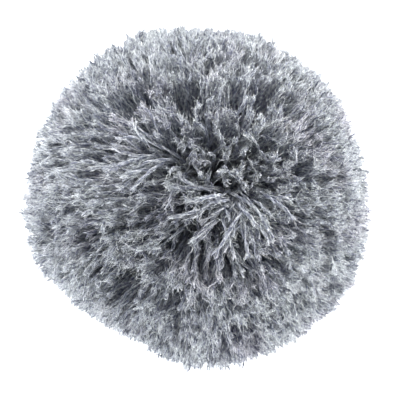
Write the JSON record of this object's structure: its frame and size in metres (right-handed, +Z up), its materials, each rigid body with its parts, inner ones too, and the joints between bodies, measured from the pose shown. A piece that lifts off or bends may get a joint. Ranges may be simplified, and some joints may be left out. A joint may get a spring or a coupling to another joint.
{
  "type": "yarn pompom",
  "caption": "Round grey pompom of cut, plied yarn: bundles of strands gripped at their waist by a knotted tie thread, fanned out and trimmed to a ball.",
  "frame": {"origin": "middle of the flattened patch of pile that the ball rests on, in that patch's plane", "axes": "+Z up, away from the resting patch; the tie's axis runs along Y, so the two halves of the pompom are at +Y and -Y and the parting between them lies in the XZ plane"},
  "size_m": [0.0796, 0.08, 0.0789],
  "materials": {
    "yarn": "soft matte two-ply yarn, cool grey with lighter and darker fibres, fuzzy",
    "tie_thread": "smooth twisted thread, dull grey"
  },
  "bodies": {
    "root": {"yarn_bundle_core": "yarn", "yarn_bundle_inner_01": "yarn", "yarn_bundle_inner_02": "yarn", "yarn_bundle_inner_03": "yarn", "yarn_bundle_inner_04": "yarn", "yarn_bundle_inner_05": "yarn", "yarn_bundle_inner_06": "yarn", "yarn_bundle_middle_01": "yarn", "yarn_bundle_middle_02": "yarn", "yarn_bundle_middle_03": "yarn", "yarn_bundle_middle_04": "yarn", "yarn_bundle_middle_05": "yarn", "yarn_bundle_middle_06": "yarn", "yarn_bundle_middle_07": "yarn", "yarn_bundle_middle_08": "yarn", "yarn_bundle_middle_09": "yarn", "yarn_bundle_middle_10": "yarn", "yarn_bundle_middle_11": "yarn", "yarn_bundle_middle_12": "yarn", "yarn_bundle_outer_01": "yarn", "yarn_bundle_outer_02": "yarn", "yarn_bundle_outer_03": "yarn", "yarn_bundle_outer_04": "yarn", "yarn_bundle_outer_05": "yarn", "yarn_bundle_outer_06": "yarn", "yarn_bundle_outer_07": "yarn", "yarn_bundle_outer_08": "yarn", "yarn_bundle_outer_09": "yarn", "yarn_bundle_outer_10": "yarn", "yarn_bundle_outer_11": "yarn", "yarn_bundle_outer_12": "yarn", "yarn_bundle_outer_13": "yarn", "yarn_bundle_outer_14": "yarn", "yarn_bundle_outer_15": "yarn", "yarn_bundle_outer_16": "yarn", "yarn_bundle_outer_17": "yarn", "yarn_bundle_outer_18": "yarn", "tie_thread": "tie_thread"}
  },
  "joints": []
}
